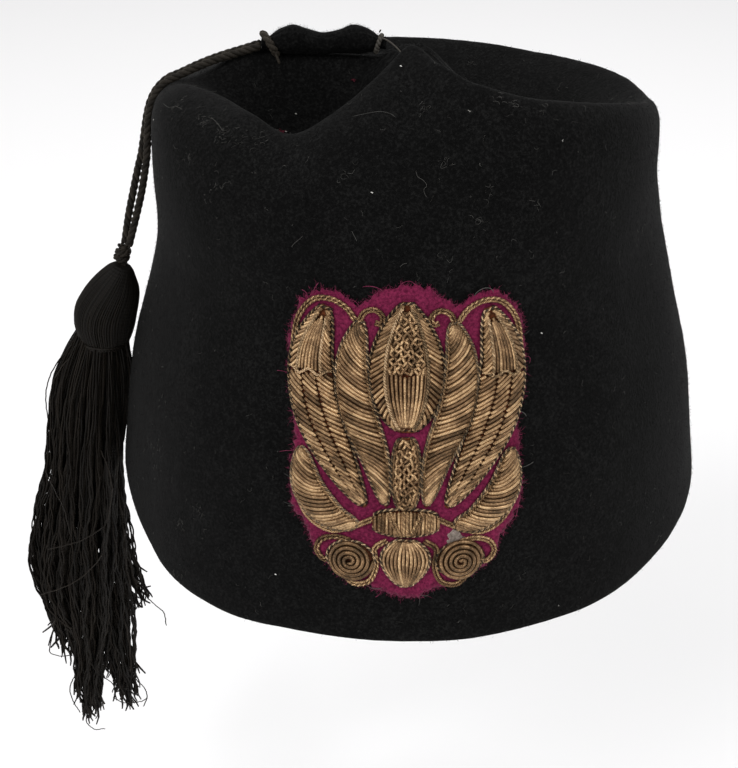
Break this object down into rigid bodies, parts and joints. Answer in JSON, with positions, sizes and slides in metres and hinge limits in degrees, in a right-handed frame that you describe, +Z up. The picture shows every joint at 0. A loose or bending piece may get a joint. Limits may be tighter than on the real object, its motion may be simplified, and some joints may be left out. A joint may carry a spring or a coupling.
{
  "type": "fez",
  "caption": "Soft tapering felt cap with a dented crown, a side tassel on a doubled cord, and a raised metal-thread leaf ornament on a cloth patch.",
  "frame": {"origin": "centre of the opening at the rim, where the hat sits on a head", "axes": "+Z up through the crown, -Y to the front with its ornament, +X to the right as seen from the front"},
  "size_m": [0.2234, 0.1962, 0.2593],
  "materials": {
    "felt": "black wool felt with a short nap and pale lint",
    "patch_cloth": "magenta wool cloth with a hand-cut frayed edge",
    "metal_thread": "tarnished twisted metal thread, worn, with bright glints",
    "thread": "faded black-brown twisted thread"
  },
  "bodies": {
    "root": {"crown": "felt", "patch": "patch_cloth", "bud": "metal_thread", "stem": "metal_thread", "collar": "metal_thread", "drop_leaf": "metal_thread", "inner_leaf_right": "metal_thread", "inner_leaf_left": "metal_thread", "outer_leaf_right": "metal_thread", "outer_leaf_left": "metal_thread", "low_leaf_right": "metal_thread", "low_leaf_left": "metal_thread", "rosette_right": "metal_thread", "rosette_left": "metal_thread", "crown_roll": "felt", "tie_centre": "thread", "tie_cord": "thread", "cord_front": "thread", "cord_back": "thread", "tassel_knot": "thread", "tassel": "thread"}
  },
  "joints": []
}
